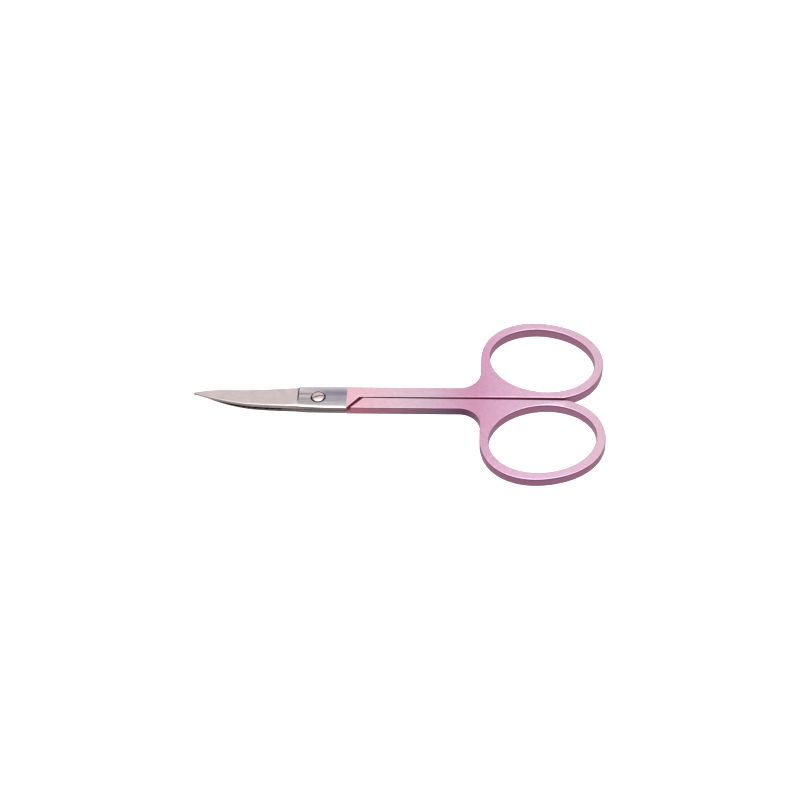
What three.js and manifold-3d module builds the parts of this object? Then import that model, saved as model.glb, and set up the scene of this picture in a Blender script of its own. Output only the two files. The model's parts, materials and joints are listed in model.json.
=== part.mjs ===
// Eyebrow scissors: two forged halves with oval finger loops and pointed, upswept blades,
// half-lapped over each other and joined by a slotted pivot screw. Modelled closed.
// Millimetres, +Z up. +X runs from the tips to the loops, and z = 0 is the side that lies on a table.
// Every piece is drawn about the pivot axis, and the whole is then centred on its length.
import * as THREE from 'three';
import { mergeVertices } from 'three/addons/utils/BufferGeometryUtils.js';
import Module from 'manifold-3d';

// Bar that each half is forged from. Half widths are measured from the line between the closed halves.
const barThickness = 2.2;
const shankHalfWidth = 3.1;
const seamGap = 0.3;
const edgeRound = 0.3;
const roundSteps = 2;

// Finger loops: an oval hole in a band with a slightly squarer outline, leaning together at their far ends
const loopDistance = 50.2;
const holeLength = 23.8;
const holeWidth = 19.1;
const loopLean = THREE.MathUtils.degToRad(-12.9);
const loopBand = 1.97; // at the ends of the hole's two axes
const loopPower = 2.13; // squareness of the band's outline, where 2 is an ellipse
const seamTrim = 0.18; // depth that the straight seam takes off the loop's band
const crotchRadius = 4.75; // fillet between shank and loop
const curveSteps = 32; // straight pieces in half of a finger hole

// Half-lap: ahead of a slanted shoulder each half keeps only its own layer of the bar
const lapGap = 0.2;
const shoulderAtSeam = 9.95; // pivot axis to the shoulder, along the seam
const shoulderAtEdge = 7.2; // pivot axis to the shoulder, along the shank's outer edge
const shoulderGap = 0.6; // clear between a shoulder and the other half

// Blades: ground from a ridge by the spine down to the cutting edge, and swept up towards the tip
const bladeReach = 28.15; // pivot axis to tip
const plungeDistance = 4.35; // pivot axis to the step where the ground face starts
const taperStart = 3; // behind the pivot axis, where the shank begins to narrow to the blade
const bladeHalfWidth = 2.81; // midline to the spine at the root
const bellyPower = 2.8;
const edgeHalfWidth = 3.05; // midline to the cutting edge, taken back to the pivot axis
const upperEdgeTaper = 0.035; // upper half's cutting edge runs nearly straight, then turns in to the tip
const upperEdgePower = 6;
const lowerEdgeReach = 27; // lower half's cutting edge runs out under the upper half's spine
const lowerEdgePower = 3.4;
const tipHalfWidth = 0.06;
const sweepStart = 15;
const sweepRise = 1.8;
const sweepPower = 1.55;
const spineTipHeight = 0.2;
const spinePower = 3.3;
const edgeHeelHeight = 0.61; // whetted land of the cutting edge where the ground face starts
const edgeTipHeight = 0.12;
const edgePower = 1.3;
const edgeLean = 0.1; // how far the whetted land leans in over half its height
const bladeSteps = 20;

// Pivot screw
const shankRadius = 1.0;
const pivotFit = 0.06; // radial running clearance
const headRadius = 1.55;
const headDepth = 0.55; // below the face of the upper half
const headRim = 0.2; // upright side of the head
const headGap = 0.14; // between the head and its seat
const seatChamfer = 0.12;
const domeRise = 0.16;
const slotWidth = 0.42;
const slotDepth = 0.32;
const slotTurn = THREE.MathUtils.degToRad(17);
const tailInset = 0.05; // screw's end, above the face of the lower half
const turnSteps = 48;

// Derived places
const overcut = 2; // how far cutting tools run past what they cut
const seamEdge = seamGap / 2;
const lapHeight = barThickness / 2;
const layerHeight = lapHeight - lapGap / 2;
const bandLong = holeLength / 2 + loopBand;
const bandShort = holeWidth / 2 + loopBand;
const loopHalfX = bandReach(Math.cos(loopLean), Math.sin(loopLean));
const loopHalfY = bandReach(Math.sin(loopLean), Math.cos(loopLean));
const loopOffset = seamEdge + loopHalfY - seamTrim;
const cutterReach = bladeReach + overcut;
const cutterHalfWidth = Math.max(shankHalfWidth, bladeHalfWidth, edgeHalfWidth) + overcut;

const wasm = await Module();
wasm.setup();

// How far the band's outline reaches from its middle, in a direction given by its parts along the two axes
function bandReach(alongLong, alongShort) {
  const power = loopPower / (loopPower - 1);
  const reach = Math.abs(bandLong * alongLong) ** power + Math.abs(bandShort * alongShort) ** power;
  return reach ** (1 / power);
}

function solidOf(geometry) {
  geometry.deleteAttribute('normal');
  geometry.deleteAttribute('uv');
  const merged = mergeVertices(geometry);
  const corners = merged.index.array;
  const triVerts = [];
  for (let i = 0; i < corners.length; i += 3) {
    const [a, b, c] = corners.slice(i, i + 3);
    if (a !== b && b !== c && c !== a) triVerts.push(a, b, c);
  }
  const vertProperties = merged.attributes.position.array;
  const mesh = new wasm.Mesh({ numProp: 3, vertProperties, triVerts: Uint32Array.from(triVerts) });
  return new wasm.Manifold(mesh);
}

function pieceOf(name, solid, material) {
  const { vertProperties, triVerts } = solid.getMesh();
  const geometry = new THREE.BufferGeometry();
  geometry.setAttribute('position', new THREE.BufferAttribute(vertProperties, 3));
  geometry.setIndex(new THREE.BufferAttribute(triVerts, 1));
  geometry.computeVertexNormals();
  const mesh = new THREE.Mesh(geometry, material);
  mesh.name = name;
  return mesh;
}

// Turned form about the pivot axis, from a profile of [radius, height] pairs that starts and ends on it
function turned(profile) {
  const points = profile.map(([radius, height]) => new THREE.Vector2(radius, height));
  return solidOf(new THREE.LatheGeometry(points, turnSteps).rotateX(Math.PI / 2));
}

// Same form turned over about the long axis, so that its top becomes its underside
function turnedOver(geometry) {
  return geometry.translate(0, 0, -lapHeight).rotateX(Math.PI).translate(0, 0, lapHeight);
}

// Outline of the upper loop's band, from the seam round its far end to the point nearest the pivot
function bandOutline() {
  const points = [];
  for (let step = 0; step < 4 * curveSteps; step += 1) {
    const turn = Math.PI * (step / (2 * curveSteps) - 0.5);
    const long = bandLong * Math.sign(Math.cos(turn)) * Math.abs(Math.cos(turn)) ** (2 / loopPower);
    const short = bandShort * Math.sign(Math.sin(turn)) * Math.abs(Math.sin(turn)) ** (2 / loopPower);
    const point = new THREE.Vector2(long, short).rotateAround(new THREE.Vector2(), loopLean);
    points.push(point.add(new THREE.Vector2(loopDistance, loopOffset)));
  }
  const nearest = points.reduce((best, point) => (point.x < best.x ? point : best));
  return points.filter((point) => point.y > seamEdge && (point.x > loopDistance || point.y >= nearest.y));
}

// Plan of the upper half's handle: lap, shank and loop, with spare length at the blade end
function handlePlan() {
  const crotchX = loopDistance - loopHalfX - crotchRadius;
  const crotchY = shankHalfWidth + crotchRadius;
  const rootSpine = spineHalf(plungeDistance);
  const rootEdge = edgeHalf(plungeDistance, 1);
  const frontEnd = -plungeDistance - overcut;
  const plan = new THREE.Shape();
  plan.moveTo(frontEnd, -rootSpine);
  plan.lineTo(-plungeDistance, -rootSpine);
  plan.quadraticCurveTo(0, -shankHalfWidth, taperStart, -shankHalfWidth);
  plan.lineTo(shoulderAtEdge - shoulderGap, -shankHalfWidth);
  plan.lineTo(shoulderAtSeam - shoulderGap, seamEdge);
  for (const point of bandOutline()) plan.lineTo(point.x, point.y);
  plan.absarc(crotchX, crotchY, crotchRadius, 0, -Math.PI / 2, true);
  plan.lineTo(taperStart, shankHalfWidth);
  plan.quadraticCurveTo(0, shankHalfWidth, -plungeDistance, rootEdge);
  plan.lineTo(frontEnd, rootEdge);
  plan.closePath();
  const hole = new THREE.Path();
  hole.absellipse(loopDistance, loopOffset, holeLength / 2, holeWidth / 2, 0, 2 * Math.PI, true, loopLean);
  plan.holes.push(hole);
  return plan;
}

function handleGeometry() {
  const rounding = { bevelThickness: edgeRound, bevelSize: edgeRound, bevelOffset: -edgeRound };
  const depth = barThickness - 2 * edgeRound;
  const settings = { depth, curveSegments: curveSteps, bevelSegments: roundSteps, ...rounding };
  return new THREE.ExtrudeGeometry(handlePlan(), settings).translate(0, 0, edgeRound);
}

// Spare length of the handle that is cut off square where the blade starts
function frontCutter() {
  const box = new THREE.BoxGeometry(2 * overcut, 2 * cutterHalfWidth, barThickness + 2 * overcut);
  return solidOf(box.translate(-plungeDistance - overcut, 0, lapHeight));
}

// Mid surface that both blades slide on. It is the same all round the pivot axis, so it opens at any angle.
function mateHeight(radius) {
  const along = Math.max(0, radius - sweepStart) / (bladeReach - sweepStart);
  return lapHeight + sweepRise * along ** sweepPower;
}

// Blade's midline to its spine
function spineHalf(distance) {
  return THREE.MathUtils.lerp(bladeHalfWidth, tipHalfWidth, (distance / bladeReach) ** bellyPower);
}

// Blade's midline to its cutting edge
function edgeHalf(distance, side) {
  if (side > 0) {
    const straight = edgeHalfWidth - upperEdgeTaper * distance;
    return THREE.MathUtils.lerp(straight, tipHalfWidth, (distance / bladeReach) ** upperEdgePower);
  }
  const along = Math.min(1, distance / lowerEdgeReach);
  return THREE.MathUtils.lerp(edgeHalfWidth, tipHalfWidth, along ** lowerEdgePower);
}

// Section of a blade across its length as [across, height over the mid surface], spine first.
// It starts below the mid surface, and the lap cut trims it there.
function bladeSection(distance, side) {
  const along = distance / bladeReach;
  const ground = Math.max(0, distance - plungeDistance) / (bladeReach - plungeDistance);
  const half = spineHalf(distance);
  const edge = edgeHalf(distance, side);
  const spine = layerHeight - (layerHeight - spineTipHeight) * along ** spinePower;
  const land = THREE.MathUtils.lerp(edgeHeelHeight, edgeTipHeight, ground ** edgePower);
  const shrink = half / bladeHalfWidth;
  const lean = edgeLean * shrink;
  const ridge = edgeRound * shrink;
  return [
    [-half, -land],
    [edge + lean, -land],
    [edge - lean, land],
    [ridge - half, spine],
    [-half, spine - ridge * spine / layerHeight],
  ];
}

// Blade lofted from inside the lap out to the tip. Side is 1 for the upper half and -1 for the lower.
function bladeGeometry(side) {
  const rootDistance = plungeDistance - edgeRound;
  const positions = [];
  for (let step = 0; step <= bladeSteps; step += 1) {
    const distance = THREE.MathUtils.lerp(rootDistance, bladeReach, step / bladeSteps);
    for (const [across, height] of bladeSection(distance, side)) {
      const mid = mateHeight(Math.hypot(distance, across));
      positions.push(-distance, side * across, mid + side * (lapGap / 2 + height));
    }
  }
  const corners = bladeSection(rootDistance, side).length;
  const last = bladeSteps * corners;
  const index = [];
  for (let i = 1; i < corners - 1; i += 1) {
    index.push(0, i, i + 1);
    index.push(last, last + i + 1, last + i);
  }
  for (let start = 0; start < last; start += corners) {
    for (let i = 0; i < corners; i += 1) {
      const next = (i + 1) % corners;
      index.push(start + i, start + corners + next, start + next);
      index.push(start + i, start + corners + i, start + corners + next);
    }
  }
  const geometry = new THREE.BufferGeometry();
  geometry.setAttribute('position', new THREE.Float32BufferAttribute(positions, 3));
  geometry.setIndex(index);
  return geometry;
}

// What the lap takes away from one half: everything past the mid surface, ahead of the shoulder
function lapCutter(side) {
  const sweep = [];
  for (let step = 0; step <= bladeSteps; step += 1) {
    const radius = THREE.MathUtils.lerp(cutterReach, sweepStart, step / bladeSteps);
    sweep.push([radius, mateHeight(radius) + side * lapGap / 2]);
  }
  const face = lapHeight + side * lapGap / 2;
  const clear = side > 0 ? -overcut : barThickness + sweepRise + overcut;
  const outline = [[0, clear], [cutterReach, clear], ...sweep, [0, face]];
  const dish = turned(side > 0 ? outline : outline.reverse());
  const slant = (shoulderAtEdge - shoulderAtSeam) / (shankHalfWidth - seamEdge);
  const ahead = new THREE.Shape();
  ahead.moveTo(-cutterReach, -cutterHalfWidth);
  ahead.lineTo(shoulderAtSeam, -cutterHalfWidth);
  ahead.lineTo(shoulderAtSeam, seamEdge);
  ahead.lineTo(shoulderAtEdge + slant * overcut, shankHalfWidth + overcut);
  ahead.lineTo(-cutterReach, shankHalfWidth + overcut);
  const depth = barThickness + 2 * (sweepRise + 2 * overcut);
  const prism = new THREE.ExtrudeGeometry(ahead, { depth, bevelEnabled: false });
  prism.translate(0, 0, lapHeight - depth / 2);
  return dish.intersect(solidOf(side > 0 ? prism : turnedOver(prism)));
}

// Seat in the upper half: running bore, cone for the head and a chamfered mouth
function seatCutter() {
  const bore = shankRadius + pivotFit;
  const mouth = headRadius + headGap;
  const clear = barThickness + overcut;
  return turned([
    [0, 0],
    [bore, 0],
    [bore, barThickness - headDepth - headGap],
    [mouth, barThickness - headRim - headGap],
    [mouth, barThickness - seatChamfer],
    [mouth + seatChamfer, barThickness],
    [mouth + seatChamfer, clear],
    [0, clear],
  ]);
}

function tailCutter() {
  const bore = shankRadius + pivotFit;
  return turned([[0, -overcut], [bore, -overcut], [bore, barThickness], [0, barThickness]]);
}

function pivotScrew() {
  const dome = [];
  const domeSteps = 4;
  for (let step = 0; step <= domeSteps; step += 1) {
    const share = step / domeSteps;
    dome.push([headRadius * (1 - share), barThickness + domeRise * (1 - (1 - share) ** 2)]);
  }
  const body = turned([
    [0, tailInset],
    [shankRadius, tailInset],
    [shankRadius, barThickness - headDepth],
    [headRadius, barThickness - headRim],
    ...dome,
  ]);
  const slot = new THREE.BoxGeometry(2 * headRadius + overcut, slotWidth, 2 * slotDepth);
  slot.rotateZ(slotTurn).translate(0, 0, barThickness + domeRise);
  return body.subtract(solidOf(slot));
}

const front = frontCutter();
const upperHandle = solidOf(handleGeometry()).subtract(front);
const lowerHandle = solidOf(turnedOver(handleGeometry())).subtract(front);
const upperHalf = upperHandle.add(solidOf(bladeGeometry(1))).subtract(lapCutter(1)).subtract(seatCutter());
const lowerHalf = lowerHandle.add(solidOf(bladeGeometry(-1))).subtract(lapCutter(-1)).subtract(tailCutter());

const coatedSteel = new THREE.MeshStandardMaterial({ color: 0xdfa9c6, roughness: 0.38, metalness: 0.55 });
const bareSteel = new THREE.MeshStandardMaterial({ color: 0xcfc8c6, roughness: 0.3, metalness: 1 });

const scissors = new THREE.Group();
scissors.position.x = (bladeReach - loopDistance - loopHalfX) / 2;
scissors.add(pieceOf('upper_half', upperHalf, coatedSteel));
scissors.add(pieceOf('lower_half', lowerHalf, coatedSteel));
scissors.add(pieceOf('pivot_screw', pivotScrew(), bareSteel));

export default scissors;
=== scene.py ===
import json
from math import asin, copysign, cos, hypot, pi, radians, sin

import bpy
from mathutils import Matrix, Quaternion, Vector


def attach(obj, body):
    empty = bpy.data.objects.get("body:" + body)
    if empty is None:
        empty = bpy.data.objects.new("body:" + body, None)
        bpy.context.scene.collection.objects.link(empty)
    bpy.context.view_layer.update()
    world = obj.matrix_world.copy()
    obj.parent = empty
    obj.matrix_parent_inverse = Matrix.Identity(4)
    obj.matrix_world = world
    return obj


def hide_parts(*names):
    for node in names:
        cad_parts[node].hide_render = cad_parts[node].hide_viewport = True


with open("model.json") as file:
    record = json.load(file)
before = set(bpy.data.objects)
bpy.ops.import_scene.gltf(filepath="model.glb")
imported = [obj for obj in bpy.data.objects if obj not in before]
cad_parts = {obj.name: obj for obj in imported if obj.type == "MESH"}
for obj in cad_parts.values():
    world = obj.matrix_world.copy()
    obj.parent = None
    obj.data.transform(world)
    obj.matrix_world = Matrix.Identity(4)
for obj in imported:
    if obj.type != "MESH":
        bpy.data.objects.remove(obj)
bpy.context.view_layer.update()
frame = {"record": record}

mm = 0.001
cutTolerance = 0.0001 * mm
mergeTolerance = 0.0005 * mm
pointTolerance = 0.001 * mm
slack = 1.001  # takes up errors in the last digits
pivotX = frame["record"]["behaviour"]["joints"][0]["pos_m"][0]
bpy.ops.object.select_all(action="DESELECT")


# Sizes below are millimetres from the pivot axis, as on a drawing. The scene is in metres.
def place(x, y, z):
    return Vector((pivotX + x * mm, y * mm, z * mm))


def pick(piece):
    bpy.ops.object.select_all(action="DESELECT")
    piece.select_set(True)
    bpy.context.view_layer.objects.active = piece


def openEdit(piece, kind):
    pick(piece)
    bpy.ops.object.mode_set(mode="EDIT")
    bpy.ops.mesh.select_mode(type=kind)
    bpy.ops.mesh.select_all(action="DESELECT")
    bpy.ops.object.mode_set(mode="OBJECT")


def selectPoints(piece, test):
    openEdit(piece, "VERT")
    for point in piece.data.vertices:
        point.select = test(point.co)
    bpy.ops.object.mode_set(mode="EDIT")


def selectEdges(piece, test):
    openEdit(piece, "EDGE")
    points = piece.data.vertices
    for edge in piece.data.edges:
        edge.select = all(test(points[end].co) for end in edge.vertices)
    bpy.ops.object.mode_set(mode="EDIT")


def selectFaces(piece, test):
    openEdit(piece, "FACE")
    for face in piece.data.polygons:
        face.select = test(face.center, face.normal)
    bpy.ops.object.mode_set(mode="EDIT")


def closeEdit():
    bpy.ops.object.mode_set(mode="OBJECT")


def freeze(piece):
    pick(piece)
    bpy.ops.object.transform_apply(location=True, rotation=True, scale=True)


# Merges touching points and turns every face outwards
def tidyShell(piece):
    selectPoints(piece, lambda p: True)
    bpy.ops.mesh.remove_doubles(threshold=mergeTolerance)
    bpy.ops.mesh.normals_make_consistent(inside=False)
    closeEdit()


def cutAway(piece, cutter):
    cut = piece.modifiers.new("cut", "BOOLEAN")
    cut.operation = "DIFFERENCE"
    cut.solver = "EXACT"
    cut.object = cutter
    pick(piece)
    bpy.ops.object.modifier_apply(modifier=cut.name)
    bpy.data.objects.remove(cutter)


# Smooth round the edges, flat on the flats
def finishShading(piece, angle=32):
    pick(piece)
    bpy.ops.object.shade_smooth_by_angle(angle=radians(angle))
    even = piece.modifiers.new("even", "WEIGHTED_NORMAL")
    even.keep_sharp = True
    even.weight = 100
    bpy.ops.object.modifier_apply(modifier=even.name)


# Box between two corners, turned about its own middle
def addBlock(name, low, high, turn=0):
    bpy.ops.object.select_all(action="DESELECT")
    bpy.ops.mesh.primitive_cube_add(size=1, location=(place(*low) + place(*high)) / 2)
    block = bpy.context.object
    block.name = name
    block.scale = place(*high) - place(*low)
    block.rotation_euler.z = radians(turn)
    freeze(block)
    return block


# A power of 2 gives an ellipse, a higher one squarer corners
def addOval(name, x, y, z, long, short, lean, sides, fill, power=2):
    bpy.ops.object.select_all(action="DESELECT")
    bpy.ops.mesh.primitive_circle_add(vertices=sides, radius=1, fill_type=fill, location=place(x, y, z))
    oval = bpy.context.object
    oval.name = name
    for point in oval.data.vertices:
        point.co.x = copysign(abs(point.co.x) ** (2 / power), point.co.x)
        point.co.y = copysign(abs(point.co.y) ** (2 / power), point.co.y)
    oval.scale = (long * mm, short * mm, 1)
    oval.rotation_euler.z = radians(lean)
    freeze(oval)
    return oval


# Goes on from the one selected point, a straight line to each of the given places
def drawOn(start, ends):
    here = start
    for end in ends:
        bpy.ops.mesh.extrude_region_move(TRANSFORM_OT_translate={"value": end - here})
        here = end


def mix(a, b, share):
    return a + (b - a) * share


# Slow at both ends
def ease(share):
    return share * share * (3 - 2 * share)


# Profile of (radius, height) pairs spun about the pivot axis
def turnProfile(name, profile, steps):
    bpy.ops.object.select_all(action="DESELECT")
    points = [place(radius, 0, height) for radius, height in profile]
    bpy.ops.mesh.primitive_plane_add(size=mm, location=points[0])
    turned = bpy.context.object
    turned.name = name
    freeze(turned)
    selectPoints(turned, lambda p: True)
    bpy.ops.mesh.merge(type="CENTER")
    drawOn(points[0], points[1:])
    bpy.ops.mesh.select_all(action="SELECT")
    bpy.ops.mesh.spin(steps=steps, angle=2 * pi, center=place(0, 0, 0), axis=(0, 0, 1))
    closeEdit()
    tidyShell(turned)
    return turned


# Coated handles
handle = {
    "barThickness": 2.2,
    "shankHalfWidth": 3.1,
    "blankPast": 2,  # how far the blank runs on past the coat line, before it is cut off there
    "seamAtLap": 0.17,  # from the midline to each half's wall, closed
    "upperSeamAtLoop": 0.28,
    "lowerSeamAtLoop": 0.47,
    "edgeRound": 0.18,  # of the loops
    "shankRound": 0.06,
    "loopRise": 0.14,  # how much thicker the loops are
    "loopChange": (29, 39),  # where the shank changes to the loop, from the pivot axis
    "roundSteps": 4,
    "loopCentre": (50.2, 11.7142),
    "holeLength": 23.8,
    "holeWidth": 19.1,
    "loopBand": 1.97,
    "loopPower": 2.13,  # squareness of the loop's outline
    "upperFlare": (0.975, 1.022),  # how much the foot is stretched across, in the hole and on the seam's side
    "lowerFlare": (0.99, 1),
    "loopLean": -12.9,
    "ovalSides": 160,
    "crotchRadius": 4.75,
    "crotchSides": 20,
    "coatLine": 6.45,  # where the coat stops, behind the pivot axis
    "shoulderAtSeam": 10.25,
    "shoulderAtEdge": 7.5,
    "upperEndGap": 1,  # from the end of each half's lap to the other half's shoulder
    "lowerEndGap": 0.35,
    "shoulderRound": 0.06,
    "shoulderSteps": 3,
    "lapGap": 0.12,  # between the faces of the two laps
}
lapHeight = handle["barThickness"] / 2


# Flat outline of lap, shank and loop, with the finger hole. Half is upper or lower.
def drawHandleOutline(spec, half):
    centreX, centreY = spec["loopCentre"]
    floorZ = spec["edgeRound"]
    long = spec["holeLength"] / 2
    short = spec["holeWidth"] / 2
    band = spec["loopBand"]
    lean = spec["loopLean"]
    sides = spec["ovalSides"]
    shank = spec["shankHalfWidth"]
    outline = addOval(
        half + "_handle", centreX, centreY, floorZ,
        long + band, short + band, lean, sides, "NGON", spec["loopPower"])
    selectFaces(outline, lambda centre, normal: True)
    seam = spec[half + "SeamAtLoop"] * mm
    bpy.ops.mesh.bisect(plane_co=(0, seam, 0), plane_no=(0, -1, 0), clear_outer=True, threshold=cutTolerance)
    closeEdit()
    crowded = 0.1 * mm  # points so close to the cut would give slivers
    selectPoints(outline, lambda p: seam + pointTolerance < p.y < seam + crowded)
    bpy.ops.mesh.dissolve_verts()
    bpy.ops.mesh.select_all(action="SELECT")
    bpy.ops.mesh.delete(type="ONLY_FACE")
    closeEdit()
    farLeft = min((point.co.copy() for point in outline.data.vertices), key=lambda p: p.x)
    onSeam = [point.co.copy() for point in outline.data.vertices if point.co.y < seam + pointTolerance]
    seamEnd = max(onSeam, key=lambda p: p.x)
    middle = place(centreX, centreY, 0)
    selectPoints(outline, lambda p: p.x < middle.x and p.y < farLeft.y - pointTolerance)
    bpy.ops.mesh.delete(type="VERT")
    closeEdit()

    # from the loop round the crotch, along the shank, across the lap and back along the seam
    radius = spec["crotchRadius"]
    crotch = place(0, shank + radius, floorZ)
    crotch.x = farLeft.x - radius * mm
    front = spec["coatLine"] - spec["blankPast"]
    endGap = spec[half + "EndGap"]
    selectPoints(outline, lambda p: (p - farLeft).length < pointTolerance)
    drawOn(farLeft, [crotch + Vector((radius * mm, 0, 0))])
    bpy.ops.mesh.spin(steps=spec["crotchSides"], angle=pi / 2, center=crotch, axis=(0, 0, 1))
    drawOn(crotch - Vector((0, radius * mm, 0)), [
        place(front, shank, floorZ),
        place(front, -shank, floorZ),
        place(spec["shoulderAtEdge"] - endGap, -shank, floorZ),
        place(spec["shoulderAtSeam"] - endGap, spec["seamAtLap"], floorZ),
        seamEnd,
    ])
    closeEdit()
    hole = addOval("finger_hole", centreX, centreY, floorZ, long, short, lean, sides, "NOTHING")
    pick(outline)
    hole.select_set(True)
    bpy.ops.object.join()
    selectPoints(outline, lambda p: True)
    bpy.ops.mesh.remove_doubles(threshold=mergeTolerance)
    bpy.ops.mesh.fill(use_beauty=True)
    closeEdit()
    return outline


# Rounds the edges of the top, or of the underside, by insets that step round a quarter circle
def roundRim(piece, spec, direction):
    radius = spec["edgeRound"] * mm
    steps = spec["roundSteps"]
    level = 0.9  # least height of a level face's normal
    selectFaces(piece, lambda centre, normal: normal.z * direction > level)
    for step in range(steps):
        before = pi / 2 * step / steps
        after = pi / 2 * (step + 1) / steps
        inward = radius * (cos(before) - cos(after))
        upward = radius * (sin(after) - sin(before))
        bpy.ops.mesh.inset(thickness=inward, depth=upward, use_boundary=True, use_even_offset=True)
    closeEdit()


# Gives the loop's walls a slight draft. Side is 1 for a half built the right way up, -1 for upside down.
def flareFoot(piece, spec, half, side):
    centre = place(*spec["loopCentre"], 0)
    long = (spec["holeLength"] + spec["loopBand"]) / 2 * mm
    short = (spec["holeWidth"] + spec["loopBand"]) / 2 * mm
    loopStart = centre.x - long - spec["loopBand"] / 2 * mm
    unlean = Quaternion((0, 0, 1), -radians(spec["loopLean"]))

    def onFoot(point):
        depth = lapHeight + (point.z / mm - lapHeight) * side
        return depth < spec["edgeRound"] * slack and point.x > loopStart

    def inHole(point):
        offset = unlean @ (point - centre)
        return (offset.x / long) ** 2 + (offset.y / short) ** 2 < 1

    inward, outward = spec[half + "Flare"]
    selectPoints(piece, lambda p: onFoot(p) and inHole(p))
    bpy.ops.transform.resize(value=(1, inward, 1), center_override=centre)
    closeEdit()
    selectPoints(piece, lambda p: onFoot(p) and not inHole(p) and p.y < centre.y)
    bpy.ops.transform.resize(value=(1, outward, 1), center_override=centre)
    closeEdit()


# Draws the edges out again towards the shank, where they are sharper, and thickens the loop
def shapeEdges(piece, spec, side):
    for distance in spec["loopChange"]:
        selectFaces(piece, lambda centre, normal: True)
        bpy.ops.mesh.bisect(plane_co=place(distance, 0, 0), plane_no=(1, 0, 0), threshold=cutTolerance)
        closeEdit()
    radius = spec["edgeRound"]
    changeStart, changeEnd = spec["loopChange"]
    outward = [point.normal.to_2d().normalized().to_3d() for point in piece.data.vertices]
    for point, way in zip(piece.data.vertices, outward):
        rise = copysign(1, point.co.z - lapHeight * mm)
        depth = lapHeight - abs(point.co.z / mm - lapHeight)
        along = min(1, max(0, (point.co.x - pivotX) / mm - changeStart) / (changeEnd - changeStart))
        less = (radius - spec["shankRound"]) * (1 - along) * mm
        turn = asin(min(1, max(0, 1 - depth / radius)))
        point.co += way * less * (1 - cos(turn))
        if depth <= radius * slack:
            point.co.z += less * (1 - sin(turn)) * rise
        if rise == side:
            point.co.z += spec["loopRise"] * along * mm * rise


# Takes the other half's layer off the lap, up to the slanted shoulder
def cutLap(piece, spec):
    seam = spec["seamAtLap"]
    slant = (spec["shoulderAtEdge"] - spec["shoulderAtSeam"]) / (spec["shankHalfWidth"] - seam)
    face = lapHeight + spec["lapGap"] / 2
    reach = 2 * spec["shankHalfWidth"]
    cutter = addBlock("lap_cutter", (0, -reach, -reach), (spec["shoulderAtSeam"], reach, face))
    for edge in (-reach, reach):
        corner = place(spec["shoulderAtSeam"], edge, 0)
        selectPoints(cutter, lambda p: (p - corner).to_2d().length < pointTolerance)
        bpy.ops.transform.translate(value=(slant * (edge - seam) * mm, 0, 0))
        closeEdit()
    cutAway(piece, cutter)
    along = Vector((slant, 1, 0)).normalized()
    start = place(spec["shoulderAtSeam"], seam, 0)

    def onShoulderFoot(point):
        offset = point - start
        aside = abs(offset.x * along.y - offset.y * along.x)
        return aside < pointTolerance and point.z < pointTolerance

    selectEdges(piece, onShoulderFoot)
    steps = spec["shoulderSteps"]
    bpy.ops.mesh.bevel(offset=spec["shoulderRound"] * mm, segments=steps, affect="EDGES", clamp_overlap=True)
    closeEdit()


# A flat bar with rounded edges, cut off at the coat line and down to the lap
def makeHandle(spec, half, side):
    piece = drawHandleOutline(spec, half)
    depth = (spec["barThickness"] - 2 * spec["edgeRound"]) * mm
    selectFaces(piece, lambda centre, normal: True)
    bpy.ops.mesh.extrude_region_move(TRANSFORM_OT_translate={"value": (0, 0, depth)})
    closeEdit()
    tidyShell(piece)
    roundRim(piece, spec, 1)
    roundRim(piece, spec, -1)
    flareFoot(piece, spec, half, side)
    shapeEdges(piece, spec, side)
    selectFaces(piece, lambda centre, normal: True)
    bpy.ops.mesh.bisect(
        plane_co=place(spec["coatLine"], 0, 0), plane_no=(-1, 0, 0),
        use_fill=True, clear_outer=True, threshold=cutTolerance)
    closeEdit()
    cutLap(piece, spec)
    tidyShell(piece)
    return piece


upperHandle = makeHandle(handle, "upper", 1)
lowerHandle = makeHandle(handle, "lower", -1)
lowerHandle.rotation_euler.x = pi  # turned over
lowerHandle.location.z = 2 * lapHeight * mm
freeze(lowerHandle)
for piece in (upperHandle, lowerHandle):
    finishShading(piece)
print("handles", [len(piece.data.polygons) for piece in (upperHandle, lowerHandle)])


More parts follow.
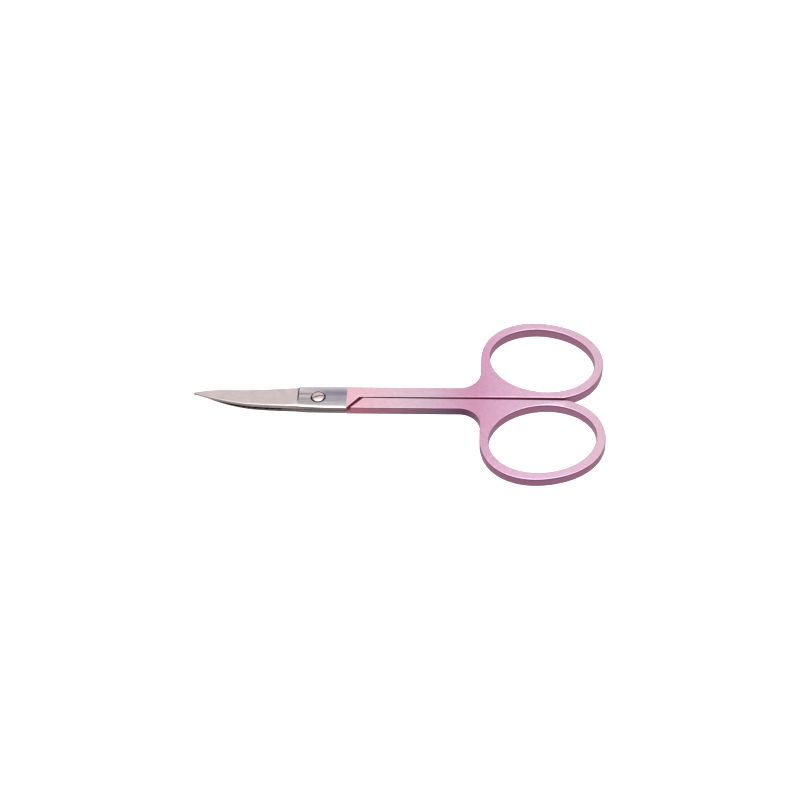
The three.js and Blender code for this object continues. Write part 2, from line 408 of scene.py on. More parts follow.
# Bare blades, each with the flat round the pivot. Side is 1 for the upper half, -1 for the lower.
blade = {
    "reach": 28.15,
    "plunge": 4.35,  # pivot axis to the step where the ground face starts
    "plungeRamp": 0.34,
    "lowerPlunge": 2.2,  # the lower half's ground face runs out gently
    "lowerRamp": 3.4,
    "halfWidth": 2.81,  # midline to the spine
    "bellyPower": 2.8,
    "edgeHalfWidth": 3.05,  # midline to the cutting edge
    "upperEdgeTaper": 0.035,
    "upperEdgePower": 7.5,
    "lowerEdgeReach": 26.3,
    "lowerEdgePower": 3.4,
    "tipHalfWidth": 0.14,
    "shankTaperStart": 3,
    "shankTaperPower": 1.75,
    "sweepStart": 15,
    "sweepRise": 1.7,
    "sweepPower": 1.55,
    "spineHeel": 1.1,  # heights over the surface that the blades slide on
    "spineTip": 0.4,
    "spinePower": 3.3,
    "landHeel": 0.71,
    "landTip": 0.22,
    "landPower": 1.3,
    "landLean": 0.1,
    "hollow": 0.05,  # of the ground face, deepest halfway
    "ridgeAtCoat": 1.35,
    "ridgeAtPlunge": 0.8,
    "ridgeOnBlade": 0.32,
    "ridgeTaper": 0.5,  # how much of its width the ridge loses towards the tip
    "ridgeFade": 3.2,
    "ridgeDrop": 0.2,
    "dropAtCoat": 0.12,
    "flatRound": 0.2,
    "flatSpread": 0.2,  # how far the upper half's flat stands out past the coated shank
    "spreadFade": 8.5,
    "faceCrest": 0.93,  # how much of the ground face slopes, before the level strip along the ridge
    "crownAtEdge": 0.11,  # how far the polished flat falls off towards each side, and over what width
    "crownAtSpine": 0.04,
    "crownWidth": 1.7,
    "gapAtPivot": 0.05,  # from the sliding surface to each blade, which bows away from it towards the tip
    "gapOverLower": 0.23,
    "gapUnderUpper": 0.08,
    "gapAtTip": 0.15,  # share of it that is left at the tip
    "gapReach": 9,
    "flatStations": 12,  # sections along the flat, the step and the ground face
    "rampStations": 8,
    "stations": 64,
    "stationPower": 0.85,  # below 1, the sections crowd towards the tip
    "footSteps": 6,  # points of a section, from the spine's foot round
    "wallSteps": 3,
    "cornerSteps": 4,
    "slopeSteps": 10,
    "crestSteps": 2,
    "ridgeSteps": 8,
    "spineSteps": 4,
}


def mateHeight(spec, radius):
    along = max(0, radius - spec["sweepStart"]) / (spec["reach"] - spec["sweepStart"])
    return lapHeight + spec["sweepRise"] * along ** spec["sweepPower"]


def bladeGap(spec, radius, side):
    far = spec["gapOverLower"] if side > 0 else spec["gapUnderUpper"]
    fade = min(1, (spec["reach"] - radius) / spec["gapReach"])
    return mix(spec["gapAtPivot"], far * max(spec["gapAtTip"], fade), min(1, radius / spec["gapReach"]) ** 2)


def spineHalf(spec, distance):
    return mix(spec["halfWidth"], spec["tipHalfWidth"], (distance / spec["reach"]) ** spec["bellyPower"])


def edgeHalf(spec, distance, side):
    if side > 0:
        straight = spec["edgeHalfWidth"] - spec["upperEdgeTaper"] * distance
        return mix(straight, spec["tipHalfWidth"], (distance / spec["reach"]) ** spec["upperEdgePower"])
    along = min(1, distance / spec["lowerEdgeReach"])
    return mix(spec["edgeHalfWidth"], spec["tipHalfWidth"], along ** spec["lowerEdgePower"])


# Widths of spine and cutting edge from the midline, where the flat narrows from the shank to the blade's root
def bladeHalves(spec, distance, side):
    past = max(distance, spec["plunge"])
    shank = handle["shankHalfWidth"]
    start = spec["shankTaperStart"]
    flat = min(1, max(0, start + distance) / (start + spec["plunge"])) ** spec["shankTaperPower"]
    half = mix(shank, spineHalf(spec, past), flat)
    edge = mix(shank, edgeHalf(spec, past, side), flat)
    fade = min(1, (past - spec["plunge"]) / spec["spreadFade"])
    spread = spec["flatSpread"] * (1 - ease(fade))
    return half, edge + spread if side > 0 else edge


# Where the step down to the ground face starts, and its length
def groundRamp(spec, side):
    return (spec["plunge"], spec["plungeRamp"]) if side > 0 else (spec["lowerPlunge"], spec["lowerRamp"])


# Line over the flat before grinding, as (across, height): round corner, slope, level strip along the ridge
def flatLine(spec, faceStart, faceEnd, corner, spine):
    crest = mix(faceStart, faceEnd, spec["faceCrest"])
    line = []
    for step in range(spec["cornerSteps"]):
        turn = pi / 2 * step / spec["cornerSteps"]
        line.append((faceStart - corner * (1 - cos(turn)), spine - corner + corner * sin(turn)))
    for step in range(spec["slopeSteps"]):
        line.append((mix(faceStart - corner, crest, step / spec["slopeSteps"]), spine))
    for step in range(spec["crestSteps"]):
        line.append((mix(crest, faceEnd, step / spec["crestSteps"]), spine))
    return line


# Closed section as (across, height), from the spine's foot under to the cutting edge and back over the top
def bladeSection(spec, distance, side):
    plunge = spec["plunge"]
    ground = min(1, max(0, distance - plunge) / (spec["reach"] - plunge))
    along = max(0, distance) / spec["reach"]
    rampStart, rampLength = groundRamp(spec, side)
    ramp = ease(min(1, max(0, distance - rampStart) / rampLength))
    half, edge = bladeHalves(spec, distance, side)
    shrink = min(1, half / spec["halfWidth"])
    spine = mix(spec["spineHeel"], spec["spineTip"], along ** spec["spinePower"])
    corner = spec["flatRound"] * shrink
    lean = spec["landLean"] * shrink * ramp
    land = mix(spec["landHeel"], spec["landTip"], ground ** spec["landPower"])
    wallTop = mix(spine - corner - spec["crownAtEdge"], land, ramp)
    behind = max(0, min(1, (plunge - distance) / (plunge + handle["coatLine"])))
    ridgeOnFlat = mix(spec["ridgeAtPlunge"], spec["ridgeAtCoat"], behind)
    ridgeOnBlade = spec["ridgeOnBlade"] * (1 - spec["ridgeTaper"] * ground) * shrink
    narrowing = min(1, max(0, distance - plunge) / spec["ridgeFade"])
    ridge = mix(ridgeOnFlat, ridgeOnBlade, narrowing)
    drop = mix(spec["ridgeDrop"], spec["dropAtCoat"], behind) * spine / spec["spineHeel"]
    faceStart = edge - lean
    faceEnd = ridge - half
    crownWidth = spec["crownWidth"]
    crownAtSpine = spec["crownAtSpine"] * (1 - ramp)

    section = [(mix(-half, edge, step / spec["footSteps"]), 0) for step in range(spec["footSteps"])]
    for step in range(spec["wallSteps"]):
        up = step / spec["wallSteps"]
        section.append((mix(edge, faceStart, up), mix(0, wallTop, up)))
    for across, flat in flatLine(spec, faceStart, faceEnd, corner, spine):
        flat -= spec["crownAtEdge"] * max(0, 1 - (edge - across) / crownWidth) ** 2
        flat -= crownAtSpine * max(0, 1 - (across - faceEnd) / crownWidth) ** 2
        slope = min(1, (faceStart - across) / (faceStart - faceEnd) / spec["faceCrest"])
        grind = mix(land, spine, slope) - spec["hollow"] * shrink * 4 * slope * (1 - slope)
        section.append((across, mix(flat, grind, ramp)))
    ridgeTop = spine - crownAtSpine
    for step in range(spec["ridgeSteps"] + 1):
        turn = pi / 2 * step / spec["ridgeSteps"]
        section.append((faceEnd - ridge * sin(turn), ridgeTop - drop * (1 - cos(turn))))
    for step in range(1, spec["spineSteps"]):
        section.append((-half, mix(ridgeTop - drop, 0, step / spec["spineSteps"])))
    return section


def bladeStations(spec, side):
    start = -handle["coatLine"]
    plunge, ramp = groundRamp(spec, side)
    stations = [mix(start, plunge, step / spec["flatStations"]) for step in range(spec["flatStations"])]
    stations += [plunge + ramp * step / spec["rampStations"] for step in range(spec["rampStations"])]
    for step in range(spec["stations"] + 1):
        share = (step / spec["stations"]) ** spec["stationPower"]
        stations.append(mix(plunge + ramp, spec["reach"], share))
    return stations


# A flat grid rolled up round the sections, with its ends closed
def makeBlade(name, spec, side):
    stations = bladeStations(spec, side)
    sections = [bladeSection(spec, distance, side) for distance in stations]
    around = len(sections[0])
    bpy.ops.object.select_all(action="DESELECT")
    bpy.ops.mesh.primitive_grid_add(x_subdivisions=len(stations) - 1, y_subdivisions=around, size=2)
    piece = bpy.context.object
    piece.name = name
    for point in piece.data.vertices:
        row = round((point.co.x + 1) / 2 * (len(stations) - 1))
        column = round((point.co.y + 1) / 2 * around) % around
        across, height = sections[row][column]
        radius = hypot(stations[row], across)
        height = max(height, bladeGap(spec, radius, side))
        point.co = place(-stations[row], side * across, mateHeight(spec, radius) + side * height)
    selectPoints(piece, lambda p: True)
    bpy.ops.mesh.remove_doubles(threshold=mergeTolerance)
    bpy.ops.mesh.select_all(action="DESELECT")
    bpy.ops.mesh.select_non_manifold()
    bpy.ops.mesh.fill_holes(sides=0)
    closeEdit()
    tidyShell(piece)
    return piece


upperBlade = makeBlade("upper_blade", blade, 1)
lowerBlade = makeBlade("lower_blade", blade, -1)

# Pivot screw and the seat that it turns in
screw = {
    "shankRadius": 1.0,
    "pivotFit": 0.04,
    "headRadius": 1.43,
    "headDepth": 0.55,
    "headRim": 0.2,
    "headGap": 0.24,
    "seatChamfer": 0.08,
    "domeRise": 0.2,
    "domeSteps": 7,
    "chamferWidth": 0.06,
    "chamferHeight": 0.06,
    "slotWidth": 0.22,
    "slotDepth": 0.45,
    "slotTurn": 17,
    "tailInset": 0.03,
    "tailChamfer": 0.12,
    "turnSteps": 72,
    "cutPast": 1,  # how far the cutters reach out of the steel
}


def makeSeatCutter(spec):
    top = handle["barThickness"]
    bore = spec["shankRadius"] + spec["pivotFit"]
    mouth = spec["headRadius"] + spec["headGap"]
    profile = [
        (0, 0),
        (bore, 0),
        (bore, top - spec["headDepth"] - spec["headGap"]),
        (mouth, top - spec["headRim"] - spec["headGap"]),
        (mouth, top - spec["seatChamfer"]),
        (mouth + spec["seatChamfer"], top),
        (mouth + spec["seatChamfer"], top + spec["cutPast"]),
        (0, top + spec["cutPast"]),
    ]
    return turnProfile("seat_cutter", profile, spec["turnSteps"])


def makeTailCutter(spec):
    bore = spec["shankRadius"] + spec["pivotFit"]
    mouth = bore + spec["seatChamfer"]
    top = handle["barThickness"]
    profile = [
        (0, -spec["cutPast"]),
        (mouth, -spec["cutPast"]),
        (mouth, 0),
        (bore, spec["seatChamfer"]),
        (bore, top),
        (0, top),
    ]
    return turnProfile("tail_cutter", profile, spec["turnSteps"])


def makeScrew(spec):
    top = handle["barThickness"]
    head = spec["headRadius"]
    rise = spec["chamferHeight"] / 2
    tail = spec["tailInset"]
    profile = [
        (0, tail),
        (spec["shankRadius"] - spec["tailChamfer"], tail),
        (spec["shankRadius"], tail + spec["tailChamfer"]),
        (spec["shankRadius"], top - spec["headDepth"]),
        (head, top - spec["headRim"]),
        (head, top - rise),
    ]
    for step in range(spec["domeSteps"] + 1):
        share = step / spec["domeSteps"]
        radius = (head - spec["chamferWidth"]) * (1 - share)
        profile.append((radius, top + rise + spec["domeRise"] * (1 - (1 - share) ** 2)))
    body = turnProfile("pivot_screw_head", profile, spec["turnSteps"])
    slotTop = top + spec["domeRise"] + spec["cutPast"]
    slotFoot = top + spec["domeRise"] - spec["slotDepth"]
    halfSlot = spec["slotWidth"] / 2
    slotEnd = 2 * head
    slotLow = (-slotEnd, -halfSlot, slotFoot)
    slotHigh = (slotEnd, halfSlot, slotTop)
    cutAway(body, addBlock("slot_cutter", slotLow, slotHigh, spec["slotTurn"]))
    return body


pivotScrew = makeScrew(screw)
cutAway(upperBlade, makeSeatCutter(screw))
cutAway(lowerBlade, makeTailCutter(screw))
for piece in (upperBlade, lowerBlade, pivotScrew):
    tidyShell(piece)
    finishShading(piece)
print("blades and screw", [len(piece.data.polygons) for piece in (upperBlade, lowerBlade, pivotScrew)])


# Finishes
noiseLow = 0.3  # most of a noise lies between these
noiseHigh = 0.7


def newMaterial(name):
    material = bpy.data.materials.new(name)
    material.use_nodes = True
    tree = material.node_tree
    return material, tree.nodes, tree.links, tree.nodes["Principled BSDF"]


def addNoise(nodes, links, scale, stretch=(1, 1, 1), detail=3):
    coords = nodes.new("ShaderNodeTexCoord")
    mapping = nodes.new("ShaderNodeMapping")
    mapping.inputs["Scale"].default_value = stretch
    noise = nodes.new("ShaderNodeTexNoise")
    noise.inputs["Scale"].default_value = scale
    noise.inputs["Detail"].default_value = detail
    links.new(coords.outputs["Object"], mapping.inputs["Vector"])
    links.new(mapping.outputs["Vector"], noise.inputs["Vector"])
    return noise.outputs["Fac"]


def addRange(nodes, links, source, low, high, fromLow=noiseLow, fromHigh=noiseHigh):
    span = nodes.new("ShaderNodeMapRange")
    span.inputs["From Min"].default_value = fromLow
    span.inputs["From Max"].default_value = fromHigh
    span.inputs["To Min"].default_value = low
    span.inputs["To Max"].default_value = high
    links.new(source, span.inputs["Value"])
    return span.outputs["Result"]


def addRamp(nodes, links, source, stops):
    ramp = nodes.new("ShaderNodeValToRGB")
    elements = ramp.color_ramp.elements
    while len(elements) < len(stops):
        elements.new(0.5)
    for element, (position, colour) in zip(elements, stops):
        element.position = position
        element.color = (*colour, 1)
    links.new(source, ramp.inputs["Fac"])
    return ramp.outputs["Color"]


# Two shades of one finish, laid by a noise
def addShades(nodes, links, noise, dark, light):
    return addRamp(nodes, links, noise, [(noiseLow, dark), (noiseHigh, light)])


def addTint(nodes, links, colour, factor):
    tint = nodes.new("ShaderNodeMix")
    tint.data_type = "RGBA"
    tint.blend_type = "MULTIPLY"
    tint.inputs["Factor"].default_value = 1
    links.new(colour, tint.inputs["A"])
    links.new(factor, tint.inputs["B"])
    return tint.outputs["Result"]


def addBump(nodes, links, source, strength, distance):
    bump = nodes.new("ShaderNodeBump")
    bump.inputs["Strength"].default_value = strength
    bump.inputs["Distance"].default_value = distance
    links.new(source, bump.inputs["Height"])
    return bump.outputs["Normal"]


# 1 on faces that lie flat, 0 on upright walls
def addFlatness(nodes, links, low, high):
    coords = nodes.new("ShaderNodeTexCoord")
    split = nodes.new("ShaderNodeSeparateXYZ")
    upright = nodes.new("ShaderNodeMath")
    upright.operation = "ABSOLUTE"
    links.new(coords.outputs["Normal"], split.inputs["Vector"])
    links.new(split.outputs["Z"], upright.inputs[0])
    return addRange(nodes, links, upright.outputs["Value"], 0, 1, low, high)


def addBlend(nodes, links, first, second, share):
    blend = nodes.new("ShaderNodeMix")
    blend.data_type = "RGBA"
    links.new(share, blend.inputs["Factor"])
    links.new(first, blend.inputs["A"])
    links.new(second, blend.inputs["B"])
    return blend.outputs["Result"]


# Share of the way between two places on one axis of the scene, in millimetres
def addAlong(nodes, links, axis, start, end):
    coords = nodes.new("ShaderNodeTexCoord")
    split = nodes.new("ShaderNodeSeparateXYZ")
    links.new(coords.outputs["Object"], split.inputs["Vector"])
    return addRange(nodes, links, split.outputs[axis], 0, 1, start * mm, end * mm)


coat = {
    "from": -11.6,  # coat line to the far end of the loops
    "to": 46.1,
    # colour of the faces along the part: partly the coat's own tone, partly painted reflection and shade
    "faceStops": [
        (0.0, (0.95, 0.55, 0.645)),
        (0.2, (0.825, 0.583, 0.678)),
        (0.28, (0.775, 0.552, 0.66)),
        (0.36, (0.735, 0.486, 0.627)),
        (0.43, (0.72, 0.393, 0.55)),
        (0.5, (0.70, 0.34, 0.51)),
        (0.56, (0.75, 0.407, 0.583)),
        (0.65, (0.79, 0.48, 0.658)),
        (0.77, (0.80, 0.527, 0.687)),
        (1.0, (0.807, 0.525, 0.66)),
    ],
    # painted shade: colour of the upright sides along the part, darker than the faces
    "wallShadeStops": [
        (0.0, (1.0, 0.36, 0.50)),
        (0.2, (0.72, 0.33, 0.48)),
        (0.36, (0.44, 0.23, 0.35)),
        (0.46, (0.28, 0.12, 0.21)),
        (0.58, (0.72, 0.31, 0.50)),
        (1.0, (0.75, 0.35, 0.54)),
    ],
    "paintedEdgeShade": [  # painted shade: how dark the sides are, from the underside up to the top edge
        (0.0, 0.6), (0.06, 0.68), (0.13, 1.0), (0.84, 1.0), (0.91, 0.64), (1.0, 0.56),
    ],
    "loopAhead": 0.04,  # how far the loops' shade runs ahead, and where that starts and ends from the seam
    "aheadFrom": 4,
    "aheadTo": 20,
    "rimShade": 0.36,  # brightness of the painted shade on the rounded edges beside the faces
    "rimFront": (-0.35, -0.1),  # along Y, the normal of an edge that faces the front
    "rimLevel": (0.85, 0.99),  # heights of the normal between a rounded edge and a face
    "wallToFace": (0.3, 0.85),
    "grain": 8000,
    "grainTint": (0.93, 1.07),
    "grainBump": 0.12,
    "grainDepth": 0.01,
    "mottle": 900,
    "mottleTint": (0.96, 1.04),
    "rough": (0.27, 0.37),
    "metal": 0.9,
    "gapShadeColour": (0.42, 0.12, 0.21),  # painted shade in the seam and the lap
    "gapDarker": 0.8,
    "gapRough": (0.4, 0.5),
    "gapMetal": 0.7,
    "gapSide": 2.95,  # midline to the outermost face in the gaps
}


# Coat with painted shade, for the seam and the lap
def makeGapShadeCoat(spec):
    material, nodes, links, shader = newMaterial("coat_with_painted_gap_shade")
    grain = addNoise(nodes, links, spec["grain"], detail=2)
    darker = [spec["gapDarker"] * part for part in spec["gapShadeColour"]]
    links.new(addShades(nodes, links, grain, darker, spec["gapShadeColour"]), shader.inputs["Base Color"])
    links.new(addRange(nodes, links, grain, *spec["gapRough"]), shader.inputs["Roughness"])
    shader.inputs["Metallic"].default_value = spec["gapMetal"]
    return material


# The loops' colour, partly painted reflection and shade, runs ahead of the shank's, the more so the further
# they lie from the seam
def addShade(nodes, links, spec):
    coords = nodes.new("ShaderNodeTexCoord")
    split = nodes.new("ShaderNodeSeparateXYZ")
    away = nodes.new("ShaderNodeMath")
    away.operation = "ABSOLUTE"
    total = nodes.new("ShaderNodeMath")
    links.new(coords.outputs["Object"], split.inputs["Vector"])
    links.new(split.outputs["Y"], away.inputs[0])
    start = spec["aheadFrom"] * mm
    end = spec["aheadTo"] * mm
    ahead = addRange(nodes, links, away.outputs["Value"], 0, spec["loopAhead"], start, end)
    links.new(addAlong(nodes, links, "X", spec["from"], spec["to"]), total.inputs[0])
    links.new(ahead, total.inputs[1])
    return total.outputs["Value"]


# Painted shade: rounded edges are darker than the faces, apart from those that face the front
def addRimShade(nodes, links, spec):
    coords = nodes.new("ShaderNodeTexCoord")
    split = nodes.new("ShaderNodeSeparateXYZ")
    level = nodes.new("ShaderNodeMath")
    level.operation = "MAXIMUM"
    links.new(coords.outputs["Normal"], split.inputs["Vector"])
    links.new(addRange(nodes, links, split.outputs["Y"], 1, 0, *spec["rimFront"]), level.inputs[0])
    links.new(addFlatness(nodes, links, *spec["rimLevel"]), level.inputs[1])
    return addRange(nodes, links, level.outputs["Value"], spec["rimShade"], 1, 0, 1)


def makePinkCoat(spec):
    material, nodes, links, shader = newMaterial("pink_satin_coat")
    along = addShade(nodes, links, spec)
    faceColour = addRamp(nodes, links, along, spec["faceStops"])
    wallShadeColour = addRamp(nodes, links, along, spec["wallShadeStops"])
    height = addAlong(nodes, links, "Z", 0, handle["barThickness"])
    paintedEdgeShade = addRamp(nodes, links, height, [(at, [level] * 3) for at, level in spec["paintedEdgeShade"]])
    wallShadeColour = addTint(nodes, links, wallShadeColour, paintedEdgeShade)
    faceColour = addTint(nodes, links, faceColour, addRimShade(nodes, links, spec))
    # upright faces take the painted shade colour, flat ones the face colour
    flatness = addFlatness(nodes, links, *spec["wallToFace"])
    colour = addBlend(nodes, links, wallShadeColour, faceColour, flatness)
    grain = addNoise(nodes, links, spec["grain"], detail=2)
    mottle = addNoise(nodes, links, spec["mottle"], detail=4)
    colour = addTint(nodes, links, colour, addRange(nodes, links, grain, *spec["grainTint"]))
    colour = addTint(nodes, links, colour, addRange(nodes, links, mottle, *spec["mottleTint"]))
    bump = addBump(nodes, links, grain, spec["grainBump"], spec["grainDepth"] * mm)
    links.new(colour, shader.inputs["Base Color"])
    links.new(addRange(nodes, links, grain, *spec["rough"]), shader.inputs["Roughness"])
    links.new(bump, shader.inputs["Normal"])
    shader.inputs["Metallic"].default_value = spec["metal"]
    return material


steel = {
    "tip": -46.09,
    "coatLine": -11.49,
    "wallShadeStops": [  # painted shade of the sides, from the tip to the coat line
        (0.0, (0.62, 0.53, 0.53)),
        (0.62, (0.64, 0.55, 0.55)),
        (0.7, (0.5, 0.42, 0.43)),
        (0.775, (0.4, 0.33, 0.345)),
        (0.858, (0.42, 0.335, 0.35)),
        (0.974, (0.52, 0.39, 0.43)),
        (1.0, (0.6, 0.4, 0.45)),
    ],
    "bandReach": 3.3,
    "bandBlend": 1.7,  # half of the stretch at the screw where the bands change
    "reflectionBandsBehind": [  # brightness of the painted reflection bands behind the screw, by distance from the seam's line
        (-3.3, 0.95), (-2.1, 0.93), (-1.5, 0.87), (-0.9, 0.76), (-0.45, 0.74), (0, 0.82), (0.2, 0.79),
        (0.45, 0.66), (0.7, 0.56), (1, 0.52), (1.3, 0.56), (1.65, 0.67), (2, 0.77), (2.3, 0.82), (3.3, 0.8),
    ],
    "reflectionBandsAhead": [
        (-3.3, 0.9), (-2, 0.82), (-1.4, 0.78), (-1, 0.75), (-0.75, 0.73), (-0.45, 0.85), (-0.15, 1.05),
        (0.15, 1.15), (0.42, 1.12), (0.6, 0.78), (0.75, 0.66), (1, 0.74), (1.2, 1), (1.4, 1.08), (1.7, 1.05),
        (2.1, 0.95), (2.4, 0.82), (3.3, 0.67),
    ],
    "ridgeHighlightFrom": -1.9,  # the painted highlight along the ridge is warmer
    "ridgeHighlightTint": (1, 0.925, 0.88),
    "tintBehind": (0.94, 0.87, 1.03),
    "tintAhead": (1, 0.88, 0.93),
    "brushed": {
        "dark": (0.76, 0.76, 0.76),
        "light": (0.9, 0.9, 0.9),
        "rough": (0.14, 0.22),
        "streak": (150, 6000, 6000),
    },
    "ground": {
        "dark": (0.63, 0.54, 0.54),
        "light": (0.68, 0.58, 0.58),
        "rough": (0.36, 0.44),
        "streak": (900, 900, 900),
    },
    "screw": {
        "dark": (0.6, 0.5, 0.505),
        "light": (0.69, 0.575, 0.58),
        "rough": (0.24, 0.34),
        "streak": (2500, 2500, 2500),
    },
    "wallToFace": (0.3, 0.7),  # heights of the normal
    "wallTint": (0.92, 1.05),
    "cloud": 500,
    "cloudTint": (0.96, 1.04),
    "lineBump": 0.05,
    "lineDepth": 0.01,
    "speckle": 4000,
    # painted shade in the corner of the step
    "step": (0.06, 0.05, 0.05),
    "stepShadeFade": -2.2,  # across the blade, where the step's painted shade has given way to the ground face's colour
    "stepTint": (0.85, 1.1),
    "stepRough": (0.45, 0.6),
    # painted shade in the groove round the head
    "seat": (0.05, 0.042, 0.042),
    "seatLighter": 1.8,
    "seatRough": (0.4, 0.55),
}


# Bands along the polished bare flat, mostly painted reflection
def addReflectionBands(nodes, links, spec, levels, tint):
    reach = spec["bandReach"]
    across = addAlong(nodes, links, "Y", -reach, reach)
    stops = []
    for at, level in levels:
        shade = tint if at > spec["ridgeHighlightFrom"] else spec["ridgeHighlightTint"]
        stops.append(((at + reach) / (2 * reach), [level * part for part in shade]))
    return addRamp(nodes, links, across, stops)


def makeSteel(name, spec, finish, withReflectionBands=False):
    material, nodes, links, shader = newMaterial(name)
    lines = addNoise(nodes, links, 1, finish["streak"], detail=5)
    cloud = addNoise(nodes, links, spec["cloud"], detail=2)
    faceColour = addShades(nodes, links, lines, finish["dark"], finish["light"])
    if withReflectionBands:
        behind = addReflectionBands(nodes, links, spec, spec["reflectionBandsBehind"], spec["tintBehind"])
        ahead = addReflectionBands(nodes, links, spec, spec["reflectionBandsAhead"], spec["tintAhead"])
        screwX = pivotX / mm
        change = addAlong(nodes, links, "X", screwX - spec["bandBlend"], screwX + spec["bandBlend"])
        faceColour = addTint(nodes, links, faceColour, addBlend(nodes, links, ahead, behind, change))
    along = addAlong(nodes, links, "X", spec["tip"], spec["coatLine"])
    wallShadeColour = addRamp(nodes, links, along, spec["wallShadeStops"])
    wallShadeColour = addTint(nodes, links, wallShadeColour, addRange(nodes, links, lines, *spec["wallTint"]))
    # upright faces take the painted shade colour, flat ones the face colour
    flatness = addFlatness(nodes, links, *spec["wallToFace"])
    colour = addBlend(nodes, links, wallShadeColour, faceColour, flatness)
    colour = addTint(nodes, links, colour, addRange(nodes, links, cloud, *spec["cloudTint"]))
    bump = addBump(nodes, links, lines, spec["lineBump"], spec["lineDepth"] * mm)
    links.new(colour, shader.inputs["Base Color"])
    links.new(addRange(nodes, links, lines, *finish["rough"]), shader.inputs["Roughness"])
    links.new(bump, shader.inputs["Normal"])
    shader.inputs["Metallic"].default_value = 1
    return material


# Painted shade in the corner where the grinding wheel stopped, dark by the cutting edge and gone by the ridge
def makeStepShadeSteel(spec):
    material, nodes, links, shader = newMaterial("step_painted_shade")
    across = addAlong(nodes, links, "Y", 0, spec["stepShadeFade"])
    speckle = addNoise(nodes, links, spec["speckle"], detail=3)
    colour = addRamp(nodes, links, across, [(0, spec["step"]), (1, spec["ground"]["dark"])])
    colour = addTint(nodes, links, colour, addRange(nodes, links, speckle, *spec["stepTint"]))
    links.new(colour, shader.inputs["Base Color"])
    links.new(addRange(nodes, links, speckle, *spec["stepRough"]), shader.inputs["Roughness"])
    shader.inputs["Metallic"].default_value = 1
    return material


# Painted shade in the groove round the screw's head
def makeSeatShadeSteel(spec):
    material, nodes, links, shader = newMaterial("seat_painted_shade")
    speckle = addNoise(nodes, links, spec["speckle"], detail=3)
    lighter = [spec["seatLighter"] * part for part in spec["seat"]]
    links.new(addShades(nodes, links, speckle, spec["seat"], lighter), shader.inputs["Base Color"])
    links.new(addRange(nodes, links, speckle, *spec["seatRough"]), shader.inputs["Roughness"])
    shader.inputs["Metallic"].default_value = 1
    return material


pinkCoat = makePinkCoat(coat)
gapShadeCoat = makeGapShadeCoat(coat)
# the brushed flats carry the painted reflection bands
brushedSteel = makeSteel("brushed_steel", steel, steel["brushed"], True)
groundSteel = makeSteel("ground_steel", steel, steel["ground"])
screwSteel = makeSteel("screw_steel", steel, steel["screw"])
stepShadeSteel = makeStepShadeSteel(steel)
seatShadeSteel = makeSeatShadeSteel(steel)


def giveMaterials(piece, materials):
    for material in materials:
        piece.data.materials.append(material)


def fromAxis(centre):
    return (centre - place(0, 0, 0)).to_2d().length


# The coat with painted shade goes on the lap's faces and on the walls that look at the other half
def paintHandle(piece, spec, side):
    giveMaterials(piece, [pinkCoat, gapShadeCoat])
    gapEnd = place(handle["loopCentre"][0], 0, 0).x
    facing = 0.5  # least part of the normal
    for face in piece.data.polygons:
        upright = abs(face.normal.z) < facing
        inGap = abs(face.center.y) < spec["gapSide"] * mm and face.center.x < gapEnd
        towardsOther = face.normal.y * side < -facing or face.normal.x < -facing
        onLap = not upright and abs(face.center.z - lapHeight * mm) < lapHeight / 2 * mm
        face.material_index = 1 if onLap or upright and inGap and towardsOther else 0


def paintBlade(piece, side):
    giveMaterials(piece, [brushedSteel, groundSteel, stepShadeSteel, seatShadeSteel])
    seatReach = (screw["headRadius"] + screw["headGap"]) * slack * mm
    underside = 0.05 * mm  # lower faces, such as the rim of the tail's hole, get no painted shade
    plungeX = place(-blade["plunge"], 0, 0).x
    groundX = place(-blade["plunge"] - blade["plungeRamp"], 0, 0).x
    groundFacing = 0.6  # least height of the normal
    stepFacing = 0.2
    for face in piece.data.polygons:
        onGround = face.normal.z * side > groundFacing and face.center.x < groundX
        onStep = side > 0 and face.normal.z > stepFacing and groundX < face.center.x < plungeX
        inSeat = fromAxis(face.center) < seatReach and abs(face.center.z) > underside
        face.material_index = 1 if onGround else 2 if onStep else 3 if inSeat else 0


# The head's rim gets the same painted shade as the groove round it
def paintScrew(piece):
    giveMaterials(piece, [screwSteel, seatShadeSteel])
    rimRadius = (screw["headRadius"] - screw["chamferWidth"]) * mm
    topFacing = 0.85
    for face in piece.data.polygons:
        onRim = fromAxis(face.center) > rimRadius and face.normal.z < topFacing
        face.material_index = 1 if onRim else 0


paintHandle(upperHandle, coat, 1)
paintHandle(lowerHandle, coat, -1)
paintBlade(upperBlade, 1)
paintBlade(lowerBlade, -1)
paintScrew(pivotScrew)
for piece, body, node, slot in (
    (upperHandle, "upper", "upper_half", "coated_steel"),
    (upperBlade, "upper", "upper_half", "bare_steel"),
    (lowerHandle, "lower", "lower_half", "coated_steel"),
    (lowerBlade, "lower", "lower_half", "bare_steel"),
    (pivotScrew, "lower", "pivot_screw", "bare_steel"),
):
    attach(piece, body)
    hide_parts(node)
print("finishes and bodies set")

# Floor, light and camera
studio = {
    "floorSize": 4,
    "floorColour": (0.92, 0.92, 0.92, 1),
    "floorGlow": 1,
    "sky": [  # elevation in degrees and brightness
        (-90, 0.05), (-62, 0.14), (-48, 0.5), (-30, 0.34), (-5, 0.1), (3, 0.15),
        (12, 0.95), (36, 1.1), (42, 0.59), (52, 0.54), (58, 1.05), (90, 1.2),
    ],
    "keyPlace": (0.02, -0.1, 0.7),
    "keySize": 0.8,
    "keyPower": 3.4,
    "azimuth": 5.065,
    "elevation": 48,
    "roll": -3.231,
    "distance": 410.1,
    "target": (0.519, -0.776, 2.2),
    "lens": 82.49,
    "sensor": 36,
    "clipStart": 0.01,
}


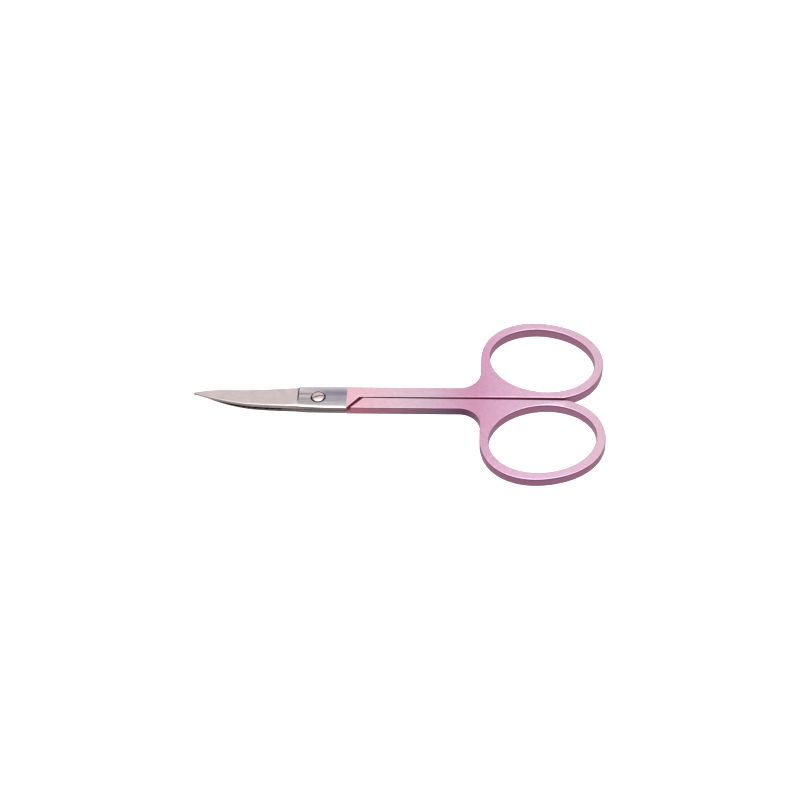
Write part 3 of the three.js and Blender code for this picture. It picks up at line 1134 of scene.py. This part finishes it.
def makeFloor(spec):
    bpy.ops.object.select_all(action="DESELECT")
    bpy.ops.mesh.primitive_plane_add(size=spec["floorSize"])
    floor = bpy.context.object
    floor.name = "floor"
    material, nodes, links, shader = newMaterial("white_floor")
    shader.inputs["Base Color"].default_value = spec["floorColour"]
    shader.inputs["Roughness"].default_value = 1
    shader.inputs["Specular IOR Level"].default_value = 0
    shader.inputs["Emission Color"].default_value = spec["floorColour"]
    shader.inputs["Emission Strength"].default_value = spec["floorGlow"]
    floor.data.materials.append(material)
    floor.visible_glossy = False  # polished walls see the dim room below the horizon instead
    floor.visible_diffuse = False


def makeSky(spec):
    world = bpy.context.scene.world or bpy.data.worlds.new("studio")
    bpy.context.scene.world = world
    world.use_nodes = True
    nodes = world.node_tree.nodes
    links = world.node_tree.links
    coords = nodes.new("ShaderNodeTexCoord")
    split = nodes.new("ShaderNodeSeparateXYZ")
    links.new(coords.outputs["Generated"], split.inputs["Vector"])
    height = addRange(nodes, links, split.outputs["Z"], 0, 1, -1, 1)
    stops = [((sin(radians(at)) + 1) / 2, [value] * 3) for at, value in spec["sky"]]
    light = addRamp(nodes, links, height, stops)
    links.new(light, nodes["Background"].inputs["Color"])


def makeKey(spec):
    bpy.ops.object.light_add(type="AREA", location=spec["keyPlace"])
    key = bpy.context.object
    key.name = "key_softbox"
    key.data.size = spec["keySize"]
    key.data.energy = spec["keyPower"]
    aim = Vector((0, 0, 0)) - Vector(spec["keyPlace"])
    key.rotation_euler = aim.to_track_quat("-Z", "Y").to_euler()


def makeCamera(spec):
    around = radians(spec["azimuth"])
    up = radians(spec["elevation"])
    target = Vector(spec["target"]) * mm
    back = Vector((cos(up) * sin(around), -cos(up) * cos(around), sin(up)))
    bpy.ops.object.camera_add(location=target + back * spec["distance"] * mm)
    camera = bpy.context.object
    camera.name = "photo_camera"
    turn = (-back).to_track_quat("-Z", "Y") @ Quaternion((0, 0, 1), radians(spec["roll"]))
    camera.rotation_euler = turn.to_euler()
    camera.data.lens = spec["lens"]
    camera.data.sensor_width = spec["sensor"]
    camera.data.clip_start = spec["clipStart"]
    bpy.context.scene.camera = camera


makeFloor(studio)
makeSky(studio)
makeKey(studio)
makeCamera(studio)
bpy.context.scene.view_settings.view_transform = "Standard"
print("floor, light and camera set")
